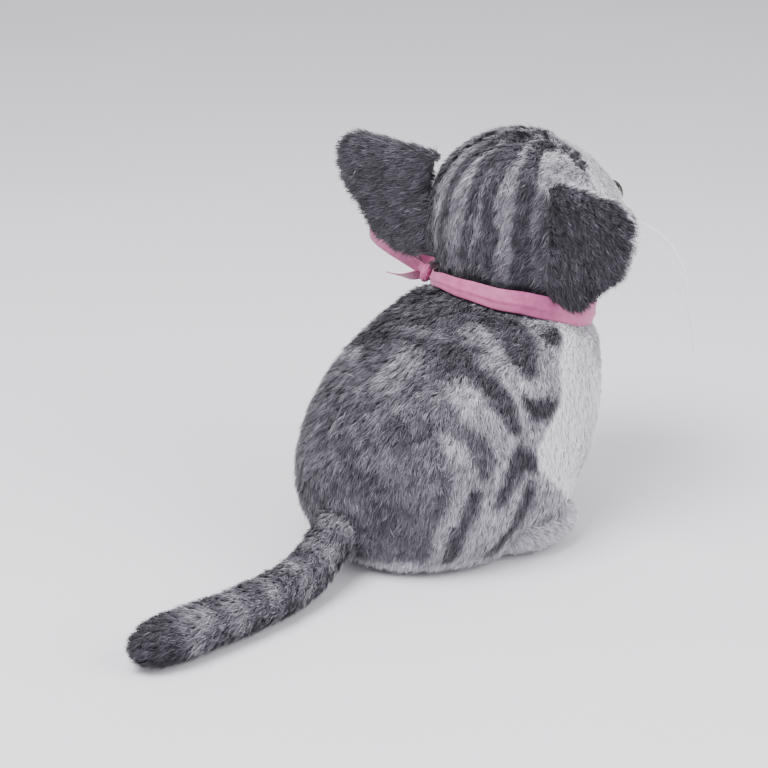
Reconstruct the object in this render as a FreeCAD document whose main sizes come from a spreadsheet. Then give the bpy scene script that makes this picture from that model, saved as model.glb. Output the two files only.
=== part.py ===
"""Seated plush cat: sewn covers over stuffing, a neck ribbon with a bow, and a long soft tail.

The cat sits on the floor plane at z = 0, faces -Y, and has its left side at +X.
Sizes are in millimetres and live in the spreadsheet "sizes".
"""
import FreeCAD, Part
import os
from math import atan2, cos, radians, sin

DOC = FreeCAD.newDocument("plush_cat")
SHEET = DOC.addObject("Spreadsheet::Sheet", "sizes")

SIZES = (
    ("torso_height", 100.0),
    ("torso_width", 98.0),
    ("torso_depth", 126.0),
    ("head_height", 75.0),
    ("head_width", 76.0),
    ("head_depth", 80.0),
    ("head_forward", 35.0),
    ("head_level", 118.0),
    ("head_yaw", 8.0),
    ("head_roll", 5.0),
    ("cover", 2.4),
    ("clearance", 0.4),
    ("neck_forward", 33.0),
    ("neck_level", 86.0),
    ("neck_tilt", 16.0),
    ("neck_radius", 30.5),
    ("ribbon_width", 8.5),
    ("ribbon_thickness", 0.8),
    ("ribbon_gap", 0.5),
    ("chest_seam_back", 9.0),
    ("chest_seam_level", 20.0),
    ("chest_seam_lean", 17.0),
    ("foot_side", 34.0),
    ("foot_forward", 10.0),
    ("foot_half_width", 12.5),
    ("foot_half_length", 22.0),
    ("foot_half_height", 10.0),
    ("foreleg_side", 13.0),
    ("foreleg_forward", 42.0),
    ("foreleg_height", 50.0),
    ("foreleg_width", 18.0),
    ("foreleg_depth", 23.0),
    ("bag_half_width", 20.0),
    ("bag_half_depth", 24.0),
    ("bag_half_height", 10.0),
    ("bag_level", 16.0),
    ("bag_back", 20.0),
    ("tail_radius", 9.0),
    ("tail_ball", 9.5),
    ("tail_core", 6.9),
    ("tail_travel_gap", 2.9),
    ("ear_back_thickness", 2.6),
    ("ear_lining_thickness", 1.8),
    ("ear_gap", 1.6),
    ("face_seam_forward", 20.0),
    ("gusset_width", 24.0),
    ("muzzle_forward", 41.0),
    ("muzzle_drop", 13.0),
    ("muzzle_half_width", 17.0),
    ("muzzle_half_depth", 15.0),
    ("muzzle_half_height", 12.0),
    ("eye_radius", 5.0),
    ("eye_bulge", 3.0),
    ("eye_shank_radius", 1.6),
    ("eye_shank_length", 9.0),
    ("washer_radius", 5.0),
    ("washer_thickness", 1.2),
    ("nose_half_width", 4.2),
    ("nose_half_height", 3.0),
    ("nose_half_depth", 2.6),
    ("stitch_radius", 0.5),
    ("mouth_arc", 3.6),
    ("whisker_radius", 0.25),
    ("bow_loop_length", 44.0),
    ("bow_loop_bulge", 8.0),
    ("bow_tail_length", 12.0),
    ("knot_radius", 4.0),
)


def fill_sheet():
    for line, (alias, value) in enumerate(SIZES, start=1):
        SHEET.set(f"A{line}", alias)
        SHEET.set(f"B{line}", str(value))
        SHEET.setAlias(f"B{line}", alias)
    DOC.recompute()


def size(alias):
    return float(getattr(SHEET, alias))


def bind(thing, **expressions):
    """Binds properties to the sheet; a double underscore in a name stands for a dot."""
    for name, expression in expressions.items():
        thing.setExpression(name.replace("__", "."), expression)
    return thing


def s(expression):
    """Turns words such as @cover into references to the sheet."""
    return expression.replace("@", "sizes.")


fill_sheet()
V = FreeCAD.Vector
X_AXIS, Y_AXIS, Z_AXIS = V(1, 0, 0), V(0, 1, 0), V(0, 0, 1)
UP = FreeCAD.Rotation()
FAR = 300.0
COVER = size("cover")
SIDES = (("left", 1), ("right", -1))

subparts = []


def place(x=0.0, y=0.0, z=0.0, turn=UP):
    return FreeCAD.Placement(V(x, y, z), turn)


def turned(axis, angle):
    return FreeCAD.Rotation(axis, angle)


HEAD = place(
    0.0,
    -size("head_forward"),
    size("head_level"),
    turned(Z_AXIS, size("head_yaw")) * turned(Y_AXIS, -size("head_roll")),
)
HEAD_PARTS = []


def keep(thing, name, on_head=False):
    """Registers a finished sub-part under its own label."""
    thing.Label = name
    subparts.append(thing)
    if on_head:
        HEAD_PARTS.append(thing)
    return thing


def ellipsoid(name, half_x, half_y, half_z, where):
    """An ellipsoid with its half sizes bound to the sheet."""
    thing = DOC.addObject("Part::Ellipsoid", name)
    bind(thing, Radius1=s(half_z), Radius2=s(half_x), Radius3=s(half_y))
    thing.Angle1 = -90
    thing.Angle2 = 90
    thing.Angle3 = 360
    thing.Placement = where
    return thing


def ball(name, radius, where):
    thing = DOC.addObject("Part::Sphere", name)
    bind(thing, Radius=s(radius))
    thing.Placement = where
    return thing


def rod(name, radius, length, where):
    thing = DOC.addObject("Part::Cylinder", name)
    bind(thing, Radius=s(radius), Height=s(length))
    thing.Placement = where
    return thing


def block(name, low, high, where=None):
    """A box used to trim or split, from its low corner to its high corner."""
    thing = DOC.addObject("Part::Box", name)
    thing.Length, thing.Width, thing.Height = (b - a for a, b in zip(low, high))
    corner = FreeCAD.Placement(V(*low), UP)
    thing.Placement = (where or FreeCAD.Placement()).multiply(corner)
    return thing


def cut(name, base, tool):
    thing = DOC.addObject("Part::Cut", name)
    thing.Base = base
    thing.Tool = tool
    return thing


def common(name, base, tool):
    thing = DOC.addObject("Part::Common", name)
    thing.Base = base
    thing.Tool = tool
    return thing


def fuse(name, *shapes):
    thing = DOC.addObject("Part::MultiFuse", name)
    thing.Shapes = list(shapes)
    return thing


def section(name, half_width, half_depth, where):
    """A closed elliptic outline, wider along Y or along X as its sizes ask."""
    thing = DOC.addObject("Part::Ellipse", name)
    thing.Placement = where
    bind(thing, MajorRadius=s(half_depth), MinorRadius=s(half_width))
    return thing


def loft(name, outlines):
    thing = DOC.addObject("Part::Loft", name)
    thing.Sections = outlines
    thing.Solid = True
    thing.Ruled = False
    return thing


ALONG_Y = turned(Z_AXIS, 90)

# Torso outline, bottom to top: level, shift towards the tail, half width and half depth,
# as fractions of the torso's height, depth, width and depth.
TORSO_SECTIONS = (
    (0.00, 0.048, 0.347, 0.317),
    (0.03, 0.048, 0.410, 0.370),
    (0.12, 0.040, 0.459, 0.429),
    (0.28, 0.016, 0.500, 0.490),
    (0.46, -0.024, 0.500, 0.498),
    (0.64, -0.076, 0.469, 0.445),
    (0.76, -0.138, 0.418, 0.373),
    (0.84, -0.188, 0.362, 0.308),
    (0.91, -0.238, 0.306, 0.248),
    (1.00, -0.270, 0.262, 0.214),
)

# Head outline about its own centre, chin to crown, in the same order.
HEAD_SECTIONS = (
    (-0.587, -0.025, 0.340, 0.350),
    (-0.453, -0.038, 0.362, 0.363),
    (-0.347, -0.100, 0.434, 0.437),
    (-0.213, -0.125, 0.500, 0.500),
    (-0.053, -0.100, 0.500, 0.500),
    (0.107, -0.063, 0.454, 0.456),
    (0.253, -0.025, 0.355, 0.362),
    (0.360, 0.000, 0.211, 0.222),
    (0.413, 0.012, 0.052, 0.053),
)


# Foreleg outline from the paw's sole up to the end that is sewn into the chest.
FORELEG_SECTIONS = (
    (0.00, 0.000, 0.340, 0.350),
    (0.05, 0.000, 0.460, 0.470),
    (0.16, 0.000, 0.500, 0.500),
    (0.28, -0.090, 0.480, 0.430),
    (0.44, -0.260, 0.480, 0.395),
    (0.68, -0.330, 0.470, 0.380),
    (0.88, -0.360, 0.380, 0.310),
    (1.00, -0.370, 0.190, 0.160),
)


def form(name, part, rows, inset, where=FreeCAD.Placement()):
    """A smooth solid through a stack of outlines, all drawn in or let out by inset."""
    height, width, depth = (size(f"{part}_{word}") for word in ("height", "width", "depth"))
    low, high = rows[0][0] * height, rows[-1][0] * height
    squeeze = 1.0 - 2.0 * inset / (high - low)
    outlines = []
    for index, (level, shift, half_width, half_depth) in enumerate(rows):
        z = (low + high) / 2.0 + (level * height - (low + high) / 2.0) * squeeze
        outlines.append(
            section(
                f"{name}_outline_{index}",
                f"@{part}_width * {half_width} - {inset}",
                f"max(@{part}_depth * {half_depth}; @{part}_width * {half_width} + 0.01) - {inset}",
                where.multiply(place(0.0, shift * depth, z, ALONG_Y)),
            )
        )
    return loft(name, outlines)


# --- Limb shapes that the torso is cut back from --------------------------------------------

def foot(name, side, inset=0.0):
    return ellipsoid(
        name,
        f"@foot_half_width - {inset}",
        f"@foot_half_length - {inset}",
        f"@foot_half_height - {inset}",
        place(side * size("foot_side"), -size("foot_forward"), size("foot_half_height")),
    )


def foreleg(name, side, inset=0.0):
    where = place(side * size("foreleg_side"), -size("foreleg_forward"), 0.0)
    return form(name, "foreleg", FORELEG_SECTIONS, inset, where)


LIMBS = []
for word, side in SIDES:
    for kind, maker in (("hind_foot", foot), ("foreleg", foreleg)):
        outside = maker(f"{kind}_{word}_outside", side)
        inside = maker(f"{kind}_{word}_inside", side, COVER)
        LIMBS.append(outside)
        keep(cut(f"{kind}_{word}_skin", outside, inside), f"{kind}_{word}_cover")
        keep(maker(f"{kind}_{word}_wad", side, COVER), f"{kind}_{word}_stuffing")

# --- Neck frame: its Z axis is the axis that the head turns about ----------------------------

NECK = place(0.0, -size("neck_forward"), size("neck_level"), turned(X_AXIS, size("neck_tilt")))
HALF_GAP = size("clearance") / 2.0
GROOVE_HEIGHT = size("ribbon_width") + 1.0
GROOVE_REACH = 46.0


def neck_groove(name, frame, margin=0.0):
    """The ring of space that the ribbon lies in, between torso and head."""
    height = GROOVE_HEIGHT + 2.0 * margin
    low = frame.multiply(place(0.0, 0.0, -height / 2.0))
    wide = rod(f"{name}_wide", str(GROOVE_REACH), str(height), low)
    core = rod(f"{name}_core", f"@neck_radius - {margin}", str(height), low)
    return cut(name, wide, core)


# --- Tail ----------------------------------------------------------------------------------

TAIL_ROOT = V(-5.0, 58.5, 18.0)
# Centres and radius fractions along the tail, from its root to its tip.
TAIL_STATIONS = (
    (-5.0, 58.5, 18.0, 0.95),
    (-8.5, 68.5, 14.4, 0.98),
    (-12.5, 80.0, 10.4, 1.00),
    (-16.5, 97.0, 9.0, 1.00),
    (-18.5, 115.0, 9.0, 1.00),
    (-18.8, 133.0, 9.2, 1.02),
    (-18.0, 147.0, 8.9, 0.97),
    (-17.2, 154.0, 8.4, 0.72),
    (-16.8, 157.5, 8.2, 0.30),
)


def tail_tube(name, inset):
    centres = [V(*row[:3]) for row in TAIL_STATIONS]
    rings = []
    for index, row in enumerate(TAIL_STATIONS):
        ahead = centres[min(index + 1, len(centres) - 1)]
        behind = centres[max(index - 1, 0)]
        facing = FreeCAD.Rotation(Z_AXIS, ahead - behind)
        radius = f"@tail_radius * {row[3]} - {inset}"
        rings.append(
            section(f"{name}_ring_{index}", radius, radius, place(*centres[index], facing))
        )
    return loft(name, rings)


ROOT = place(*TAIL_ROOT)
tail_outside = fuse(
    "tail_outside", tail_tube("tail_tube_outside", 0.0), ball("tail_ball_outside", "@tail_ball", ROOT)
)
tail_hollow = tail_tube("tail_tube_inside", size("cover"))
ball_hollow = ball("tail_ball_hollow", "@tail_core + @clearance", ROOT)
tail_socket = ball("tail_socket", "@tail_ball + @tail_travel_gap", ROOT)
keep(ball("tail_core", "@tail_core", ROOT), "tail_root_stuffing")
tail_inside = fuse("tail_inside", tail_hollow, ball_hollow)
keep(cut("tail_skin", tail_outside, tail_inside), "tail_cover")
keep(cut("tail_wad", tail_hollow, ball_hollow), "tail_stuffing")

# --- Torso ---------------------------------------------------------------------------------

torso_outside = form("torso_outside", "torso", TORSO_SECTIONS, 0.0)
torso_inside = form("torso_inside", "torso", TORSO_SECTIONS, COVER)
above_neck = block("above_neck", (-FAR, -FAR, -HALF_GAP), (FAR, FAR, FAR), NECK)
above_neck_inside = block("above_neck_inside", (-FAR, -FAR, -HALF_GAP - COVER), (FAR, FAR, FAR), NECK)
torso_seats = fuse(
    "torso_seats", *LIMBS, tail_socket, above_neck, neck_groove("torso_groove", NECK)
)
torso_form = cut("torso_form", torso_outside, torso_seats)
core_seats = fuse("core_seats", above_neck_inside, neck_groove("core_groove", NECK, COVER))
torso_core = cut("torso_core", torso_inside, core_seats)
torso_cover = cut("torso_cover", torso_form, torso_core)

base_slab = block("base_slab", (-FAR, -FAR, -1.0), (FAR, FAR, COVER))
chest_frame = place(
    0.0, -size("chest_seam_back"), size("chest_seam_level"), turned(X_AXIS, size("chest_seam_lean"))
)
chest_block = block("chest_block", (-FAR, -FAR, -FAR), (FAR, 0.0, FAR), chest_frame)
back_block = block("back_block", (-FAR, 0.0, -FAR), (FAR, FAR, FAR), chest_frame)
keep(common("base", torso_cover, base_slab), "base_panel")
chest_region = cut("chest_region", chest_block, base_slab)
keep(common("chest", torso_cover, chest_region), "chest_panel")
for word, side in SIDES:
    half = block(f"{word}_half", (min(0, side) * FAR, -FAR, COVER), (max(0, side) * FAR, FAR, FAR))
    back_region = common(f"back_region_{word}", back_block, half)
    keep(common(f"back_{word}", torso_cover, back_region), f"back_panel_{word}")

bag = ellipsoid(
    "bag",
    "@bag_half_width",
    "@bag_half_depth",
    "@bag_half_height",
    place(0.0, size("bag_back"), size("bag_level")),
)
torso_filling_seats = fuse("torso_filling_seats", *LIMBS, tail_socket)
keep(bag, "pellet_bag")
torso_filling = cut("torso_filling", torso_core, torso_filling_seats)
keep(cut("torso_wad", torso_filling, bag), "torso_stuffing")

# --- Head, in its own frame: face towards -Y, left side at +X --------------------------------

NECK_FROM_HEAD = HEAD.inverse().multiply(NECK)
head_outside = form("head_outside", "head", HEAD_SECTIONS, 0.0)
head_inside = form("head_inside", "head", HEAD_SECTIONS, COVER)
below_neck = block("below_neck", (-FAR, -FAR, -FAR), (FAR, FAR, HALF_GAP), NECK_FROM_HEAD)
below_neck_inside = block(
    "below_neck_inside", (-FAR, -FAR, -FAR), (FAR, FAR, HALF_GAP + COVER), NECK_FROM_HEAD
)
head_form = cut(
    "head_form", head_outside, fuse("head_seats", below_neck, neck_groove("head_groove", NECK_FROM_HEAD))
)
head_core = cut("head_core", head_inside, below_neck_inside)
head_cover = cut("head_cover", head_form, head_core)


def eye_frame(side):
    """Centre of an eye on the face, with Z pointing out of the head."""
    outward = V(side * sin(radians(18.0)), -cos(radians(18.0)), 0.05)
    return place(side * 12.0, -44.6, 0.5, FreeCAD.Rotation(Z_AXIS, outward))


def eye_form(name, frame):
    """A domed eye with the shank that holds it in the cloth."""
    dome = ellipsoid(f"{name}_dome", "@eye_radius", "@eye_radius", "@eye_bulge", frame)
    down = frame.multiply(place(0.0, 0.0, -size("eye_shank_length")))
    shank = rod(f"{name}_shank", "@eye_shank_radius", "@eye_shank_length", down)
    return fuse(name, dome, shank), shank


eye_seats, washer_seats = [], []
for word, side in SIDES:
    frame = eye_frame(side)
    keep(eye_form(f"eye_form_{word}", frame)[0], f"eye_{word}", True)
    seat, shank = eye_form(f"eye_seat_{word}", frame)
    eye_seats.append(seat)
    behind = frame.multiply(place(0.0, 0.0, -size("eye_bulge") - 4.4))
    plate = rod(f"washer_plate_{word}", "@washer_radius", "@washer_thickness", behind)
    washer_seats.append(plate)
    keep(cut(f"washer_{word}", plate, shank), f"eye_washer_{word}", True)

muzzle_place = place(0.0, -size("muzzle_forward"), -size("muzzle_drop"))


def muzzle(name, inset):
    sizes = (f"@muzzle_half_{word} - {inset}" for word in ("width", "depth", "height"))
    return cut(name, ellipsoid(f"{name}_ball", *sizes, muzzle_place), head_outside)


NOSE_LEVEL = -size("muzzle_drop") + 5.0
NOSE_FRONT = -size("muzzle_forward") - 13.5


def nose_form(name):
    where = place(0.0, NOSE_FRONT, NOSE_LEVEL)
    return ellipsoid(name, "@nose_half_width", "@nose_half_depth", "@nose_half_height", where)


keep(nose_form("nose_form"), "nose", True)
nose_seat = nose_form("nose_seat")

MOUTH_LEVEL = -size("muzzle_drop") + 0.2
MOUTH_FRONT = -size("muzzle_forward") - size("muzzle_half_depth") + 0.6
mouth_arcs = []
for word, side in SIDES:
    arc = DOC.addObject("Part::Torus", f"mouth_arc_{word}")
    bind(arc, Radius1="sizes.mouth_arc", Radius2="sizes.stitch_radius")
    arc.Angle3 = 180
    arc.Placement = place(
        side * size("mouth_arc"), MOUTH_FRONT, MOUTH_LEVEL, turned(Z_AXIS, side * 10) * turned(X_AXIS, -90)
    )
    mouth_arcs.append(arc)
philtrum = rod("philtrum", "@stitch_radius", "2.6", place(0.0, MOUTH_FRONT, MOUTH_LEVEL))
mouth_form = fuse("mouth_form", *mouth_arcs, philtrum)
keep(cut("mouth", mouth_form, nose_seat), "mouth_stitching", True)

muzzle_skin = cut("muzzle_skin", muzzle("muzzle_outside", 0.0), muzzle("muzzle_inside", 1.8))
muzzle_trim = fuse("muzzle_trim", nose_seat, mouth_form)
keep(cut("muzzle_cut", muzzle_skin, muzzle_trim), "muzzle_cover", True)
keep(cut("muzzle_wad", DOC.getObject("muzzle_inside"), muzzle_trim), "muzzle_stuffing", True)

face_block = block("face_block", (-FAR, -FAR, -FAR), (FAR, -size("face_seam_forward"), FAR))
eye_holes = fuse("eye_holes", *eye_seats)
keep(cut("face", common("face_skin", head_cover, face_block), eye_holes), "face_panel", True)
head_sides = cut("head_sides", head_cover, face_block)
HALF_GUSSET = size("gusset_width") / 2.0
gusset_block = block("gusset_block", (-HALF_GUSSET, -FAR, -FAR), (HALF_GUSSET, FAR, FAR))
keep(common("gusset", head_sides, gusset_block), "head_crown_gusset", True)
for word, side in SIDES:
    near, far = side * HALF_GUSSET, side * FAR
    cheek = block(f"cheek_{word}", (min(near, far), -FAR, -FAR), (max(near, far), FAR, FAR))
    keep(common(f"head_side_{word}_form", head_sides, cheek), f"head_side_{word}", True)
eye_fittings = fuse("eye_fittings", *eye_seats, *washer_seats)
keep(cut("head_wad", head_core, eye_fittings), "head_stuffing", True)

# --- Ears: a fur back and a thin lining, cut to stand just off the head ----------------------

EAR_BASE_SIDE, EAR_BASE_BACK, EAR_SWEEP = 27.0, 16.0, 13.0
head_clear = form("head_clear", "head", HEAD_SECTIONS, -size("ear_gap"))
RIBBON_ROOM = size("ribbon_width") + 3.0
ribbon_clear = rod(
    "ribbon_clear",
    "@neck_radius + @ribbon_gap + @ribbon_thickness + 1.5",
    str(RIBBON_ROOM),
    NECK_FROM_HEAD.multiply(place(0.0, 0.0, -RIBBON_ROOM / 2.0)),
)
ear_clear = fuse("ear_clear", head_clear, ribbon_clear)


def ear_outline(sketch, side):
    """Straight upper edge, rounded tip, and a long full curve back to the lower base."""
    root_top = V(side * -12.0, 19.0, 0)
    tip_start = V(side * 31.0, 20.5, 0)
    tip_middle = V(side * 37.6, 18.0, 0)
    tip_end = V(side * 40.4, 9.5, 0)
    edge_middle = V(side * 32.5, -11.0, 0)
    edge_end = V(side * 14.0, -23.5, 0)
    root_low = V(side * -8.0, -24.0, 0)
    sketch.addGeometry(Part.LineSegment(root_top, tip_start))
    sketch.addGeometry(Part.Arc(tip_start, tip_middle, tip_end))
    sketch.addGeometry(Part.Arc(tip_end, edge_middle, edge_end))
    sketch.addGeometry(Part.LineSegment(edge_end, root_low))
    sketch.addGeometry(Part.LineSegment(root_low, root_top))


def origin_plane(body, role):
    return next(f for f in body.Origin.OriginFeatures if f.Role == role)


def padded_sketch(name, plane, draw, length, reverse=False, midplane=False):
    """A body made by padding one closed sketch."""
    body = DOC.addObject("PartDesign::Body", name)
    sketch = body.newObject("Sketcher::SketchObject", f"{name}_sketch")
    sketch.AttachmentSupport = [(origin_plane(body, plane), "")]
    sketch.MapMode = "FlatFace"
    draw(sketch)
    pad = body.newObject("PartDesign::Pad", f"{name}_pad")
    pad.Profile = sketch
    pad.Reversed = reverse
    pad.Midplane = midplane
    bind(pad, Length=s(length))
    body.Tip = pad
    return body


for word, side in SIDES:
    frame = place(
        side * EAR_BASE_SIDE, EAR_BASE_BACK, 0.0, turned(Z_AXIS, side * EAR_SWEEP) * turned(X_AXIS, 90)
    )
    for layer, backwards in (("back", True), ("lining", False)):
        name = f"ear_{word}_{layer}"
        plate = padded_sketch(
            f"{name}_plate",
            "XY_Plane",
            lambda sketch: ear_outline(sketch, side),
            f"@ear_{layer}_thickness",
            reverse=backwards,
        )
        plate.Placement = frame
        keep(cut(f"{name}_cut", plate, ear_clear), name, True)

# --- Whiskers ------------------------------------------------------------------------------


def bent_rod(name, start, middle, end, radius):
    """A round rod along one arc."""
    arc = Part.Arc(start, middle, end)
    path = Part.Wire([arc.toShape()])
    heading = arc.tangent(arc.FirstParameter)[0]
    profile = Part.Wire([Part.Circle(start, heading, radius).toShape()])
    thing = DOC.addObject("Part::Feature", name)
    thing.Shape = path.makePipeShell([profile], True, False)
    return thing


WHISKER_ROWS = ((2.0, 4.0, -12.0), (-1.5, 0.0, -6.0), (-5.0, -5.0, 0.0))
WHISKER_SIDE = 11.0
WHISKER_STANDOFF = 0.3


def muzzle_front(x, z):
    """How far forward the muzzle's surface is, at a side and a level from its middle."""
    left = 1.0 - (x / size("muzzle_half_width")) ** 2 - (z / size("muzzle_half_height")) ** 2
    return -size("muzzle_forward") - size("muzzle_half_depth") * left**0.5


for word, side in SIDES:
    for number, (level, drop, forward) in enumerate(WHISKER_ROWS, start=1):
        z = -size("muzzle_drop") + level
        start = V(side * WHISKER_SIDE, muzzle_front(WHISKER_SIDE, level) - WHISKER_STANDOFF, z)
        middle = V(side * 27.5, -66.0 - forward / 2.0, z - 9.5 + drop)
        end = V(side * 38.0, -77.0 - forward, z - 39.0 + 2.0 * drop)
        name = f"whisker_{word}_{number}"
        keep(bent_rod(f"{name}_form", start, middle, end, size("whisker_radius")), name, True)

# --- Ribbon: a band round the neck, tied in a bow at the left of the nape ---------------------

BAND_INSIDE = size("neck_radius") + size("ribbon_gap")
BAND_OUTSIDE = BAND_INSIDE + size("ribbon_thickness")
band_low = NECK.multiply(place(0.0, 0.0, -size("ribbon_width") / 2.0))
band_wide = rod("band_wide", "@neck_radius + @ribbon_gap + @ribbon_thickness", "@ribbon_width", band_low)
band_core = rod("band_core", "@neck_radius + @ribbon_gap", "@ribbon_width", band_low)
keep(cut("band", band_wide, band_core), "ribbon_neck_band")

KNOT_TURN = 36.0
knot_frame = NECK.multiply(FreeCAD.Placement(V(), turned(Z_AXIS, KNOT_TURN)))
knot_at = knot_frame.multiply(place(BAND_OUTSIDE + size("knot_radius") * 0.55, 0.0, 0.0))
knot = ellipsoid("knot_ball", "@knot_radius * 0.55", "@knot_radius", "@knot_radius", knot_at)
keep(knot, "bow_knot")


def loop_outline(sketch):
    """A drop-shaped loop of ribbon seen on edge, with its point at the knot."""
    length, bulge = size("bow_loop_length"), size("bow_loop_bulge")
    centre = length - bulge
    slope = atan2(bulge, (centre**2 - bulge**2) ** 0.5)
    for radius in (bulge, bulge - size("ribbon_thickness")):
        apex = V(centre - radius / sin(slope), 0, 0)
        high = V(centre - radius * sin(slope), radius * cos(slope), 0)
        low = V(high.x, -high.y, 0)
        sketch.addGeometry(Part.LineSegment(apex, high))
        sketch.addGeometry(Part.Arc(high, V(centre + radius, 0, 0), low))
        sketch.addGeometry(Part.LineSegment(low, apex))


def tail_outline(sketch):
    """A flat end of ribbon seen on edge."""
    length, half = size("bow_tail_length"), size("ribbon_thickness") / 2.0
    corners = [V(0, -half, 0), V(length, -half, 0), V(length, half, 0), V(0, half, 0)]
    for here, there in zip(corners, corners[1:] + corners[:1]):
        sketch.addGeometry(Part.LineSegment(here, there))


# Directions that the loops and ends leave the knot in, as compass heading and rise.
BOW_PIECES = (
    ("bow_loop_rear", loop_outline, -17.0, 7.0),
    ("bow_loop_front", loop_outline, -46.0, -8.0),
    ("ribbon_end_rear", tail_outline, 22.0, -6.0),
    ("ribbon_end_front", tail_outline, -66.0, -12.0),
)
for name, draw, heading, rise in BOW_PIECES:
    piece = padded_sketch(f"{name}_pad_body", "XY_Plane", draw, "@ribbon_width * 0.9", midplane=True)
    aim = turned(Z_AXIS, heading) * turned(Y_AXIS, -rise)
    out = aim.multVec(V(size("knot_radius") + 0.5, 0, 0))
    piece.Placement = FreeCAD.Placement(knot_at.Base + out, aim)
    keep(piece, name)

# --- Placement, checks and export ------------------------------------------------------------

for thing in HEAD_PARTS:
    thing.Placement = HEAD.multiply(thing.Placement)
DOC.recompute()

problems = []
for thing in DOC.Objects:
    if any(word in thing.State for word in ("Invalid", "Error")):
        problems.append(f"{thing.Name}: {thing.State}")
for thing in subparts:
    shape = thing.Shape
    if shape.isNull() or not shape.isValid() or not shape.Solids:
        problems.append(f"{thing.Label}: shape is missing or not valid")
if problems:
    raise SystemExit("\n".join(problems))

os.makedirs("parts", exist_ok=True)
for thing in subparts:
    thing.Shape.exportStep(f"parts/{thing.Label}.step")
    volumes = ", ".join(f"{solid.Volume:.1f}" for solid in thing.Shape.Solids)
    print(f"{thing.Label:26s} {volumes} mm3")
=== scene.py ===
"""Plush cat: padded fabric skins under a cut pile, a satin ribbon and a stitched face."""
import bmesh
import bpy
import numpy as np
from math import cos, pi, radians, sin
from mathutils import Matrix, Vector
from mathutils.kdtree import KDTree


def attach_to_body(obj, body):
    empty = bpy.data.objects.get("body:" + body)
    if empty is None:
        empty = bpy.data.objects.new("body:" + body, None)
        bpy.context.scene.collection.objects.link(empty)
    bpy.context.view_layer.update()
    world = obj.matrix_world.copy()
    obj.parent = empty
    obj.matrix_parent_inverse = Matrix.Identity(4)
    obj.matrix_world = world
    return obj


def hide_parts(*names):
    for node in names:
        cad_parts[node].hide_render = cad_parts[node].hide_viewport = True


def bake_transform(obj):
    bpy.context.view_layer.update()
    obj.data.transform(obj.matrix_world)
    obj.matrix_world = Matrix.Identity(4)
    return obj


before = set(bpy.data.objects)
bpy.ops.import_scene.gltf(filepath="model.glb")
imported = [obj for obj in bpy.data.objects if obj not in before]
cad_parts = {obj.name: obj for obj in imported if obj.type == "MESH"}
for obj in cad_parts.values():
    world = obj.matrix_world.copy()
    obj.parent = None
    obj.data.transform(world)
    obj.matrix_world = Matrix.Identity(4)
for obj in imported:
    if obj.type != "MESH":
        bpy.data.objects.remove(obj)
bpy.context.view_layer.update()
MM = 0.001

# --- Camera ------------------------------------------------------------------------------

AZIMUTH, ELEVATION, DISTANCE = radians(228.0), radians(20.0), 0.75
TARGET = Vector((0.0298, 0.0054, 0.0508))
BACKWARD = Vector((sin(AZIMUTH) * cos(ELEVATION), -cos(AZIMUTH) * cos(ELEVATION), sin(ELEVATION)))
camera_data = bpy.data.cameras.new("camera")
camera_data.lens = 92.5
camera_data.sensor_width = 36.0
camera = bpy.data.objects.new("camera", camera_data)
camera.location = TARGET + BACKWARD * DISTANCE
camera.rotation_euler = BACKWARD.to_track_quat("Z", "Y").to_euler()
bpy.context.scene.collection.objects.link(camera)
bpy.context.scene.camera = camera

# --- Frames that the pieces are described in, in millimetres -------------------------------

NECK_AT = np.array((0.0, -33.0, 86.0))
NECK_AXIS = np.array((0.0, -sin(radians(16.0)), cos(radians(16.0))))
NECK_ACROSS = np.array((1.0, 0.0, 0.0))
NECK_BACK = np.cross(NECK_AXIS, NECK_ACROSS)
HEAD_TURN = np.array(Matrix.Rotation(radians(8.0), 3, "Z") @ Matrix.Rotation(radians(-5.0), 3, "Y"))
HEAD_AT = np.array((0.0, -35.0, 118.0))
TAIL_LINE = np.array((
    (-5.0, 58.5, 18.0), (-8.5, 68.5, 14.4), (-12.5, 80.0, 10.4), (-16.5, 97.0, 9.0),
    (-18.5, 115.0, 9.0), (-18.8, 133.0, 9.2), (-18.0, 147.0, 8.9), (-16.8, 157.5, 8.2),
))


def to_head(points):
    """World millimetres to the head's own frame."""
    return (points - HEAD_AT) @ HEAD_TURN


def on_neck(turn, radius, rise=0.0):
    """A point round the neck, from the cat's left towards its back."""
    return NECK_AT + radius * (cos(turn) * NECK_ACROSS + sin(turn) * NECK_BACK) + rise * NECK_AXIS


KNOT = on_neck(radians(36.0), 34.0)


def unit(vectors):
    return vectors / np.maximum(np.linalg.norm(vectors, axis=-1, keepdims=True), 1e-12)


def smooth(low, high, value):
    t = np.clip((value - low) / (high - low), 0.0, 1.0)
    return t * t * (3.0 - 2.0 * t)


def hashed(cells):
    """A repeatable value from 0 to 1 for each whole-number cell."""
    mixed = cells[:, 0] * 73856093 ^ cells[:, 1] * 19349663 ^ cells[:, 2] * 83492791
    mixed = (mixed ^ (mixed >> 13)) * 1274126177
    return ((mixed ^ (mixed >> 16)) & 0xFFFFF) / float(0xFFFFF)


def noise(points, cell, seed=0):
    """Smooth value noise from -1 to 1."""
    scaled = points / cell + seed * 17.31
    base = np.floor(scaled).astype(np.int64)
    part = scaled - base
    part = part * part * (3.0 - 2.0 * part)
    total = np.zeros(len(points))
    for dx in (0, 1):
        for dy in (0, 1):
            for dz in (0, 1):
                weight = np.ones(len(points))
                for axis, step in enumerate((dx, dy, dz)):
                    weight = weight * (part[:, axis] if step else 1.0 - part[:, axis])
                total += weight * hashed(base + np.array((dx, dy, dz)))
    return total * 2.0 - 1.0


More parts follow.
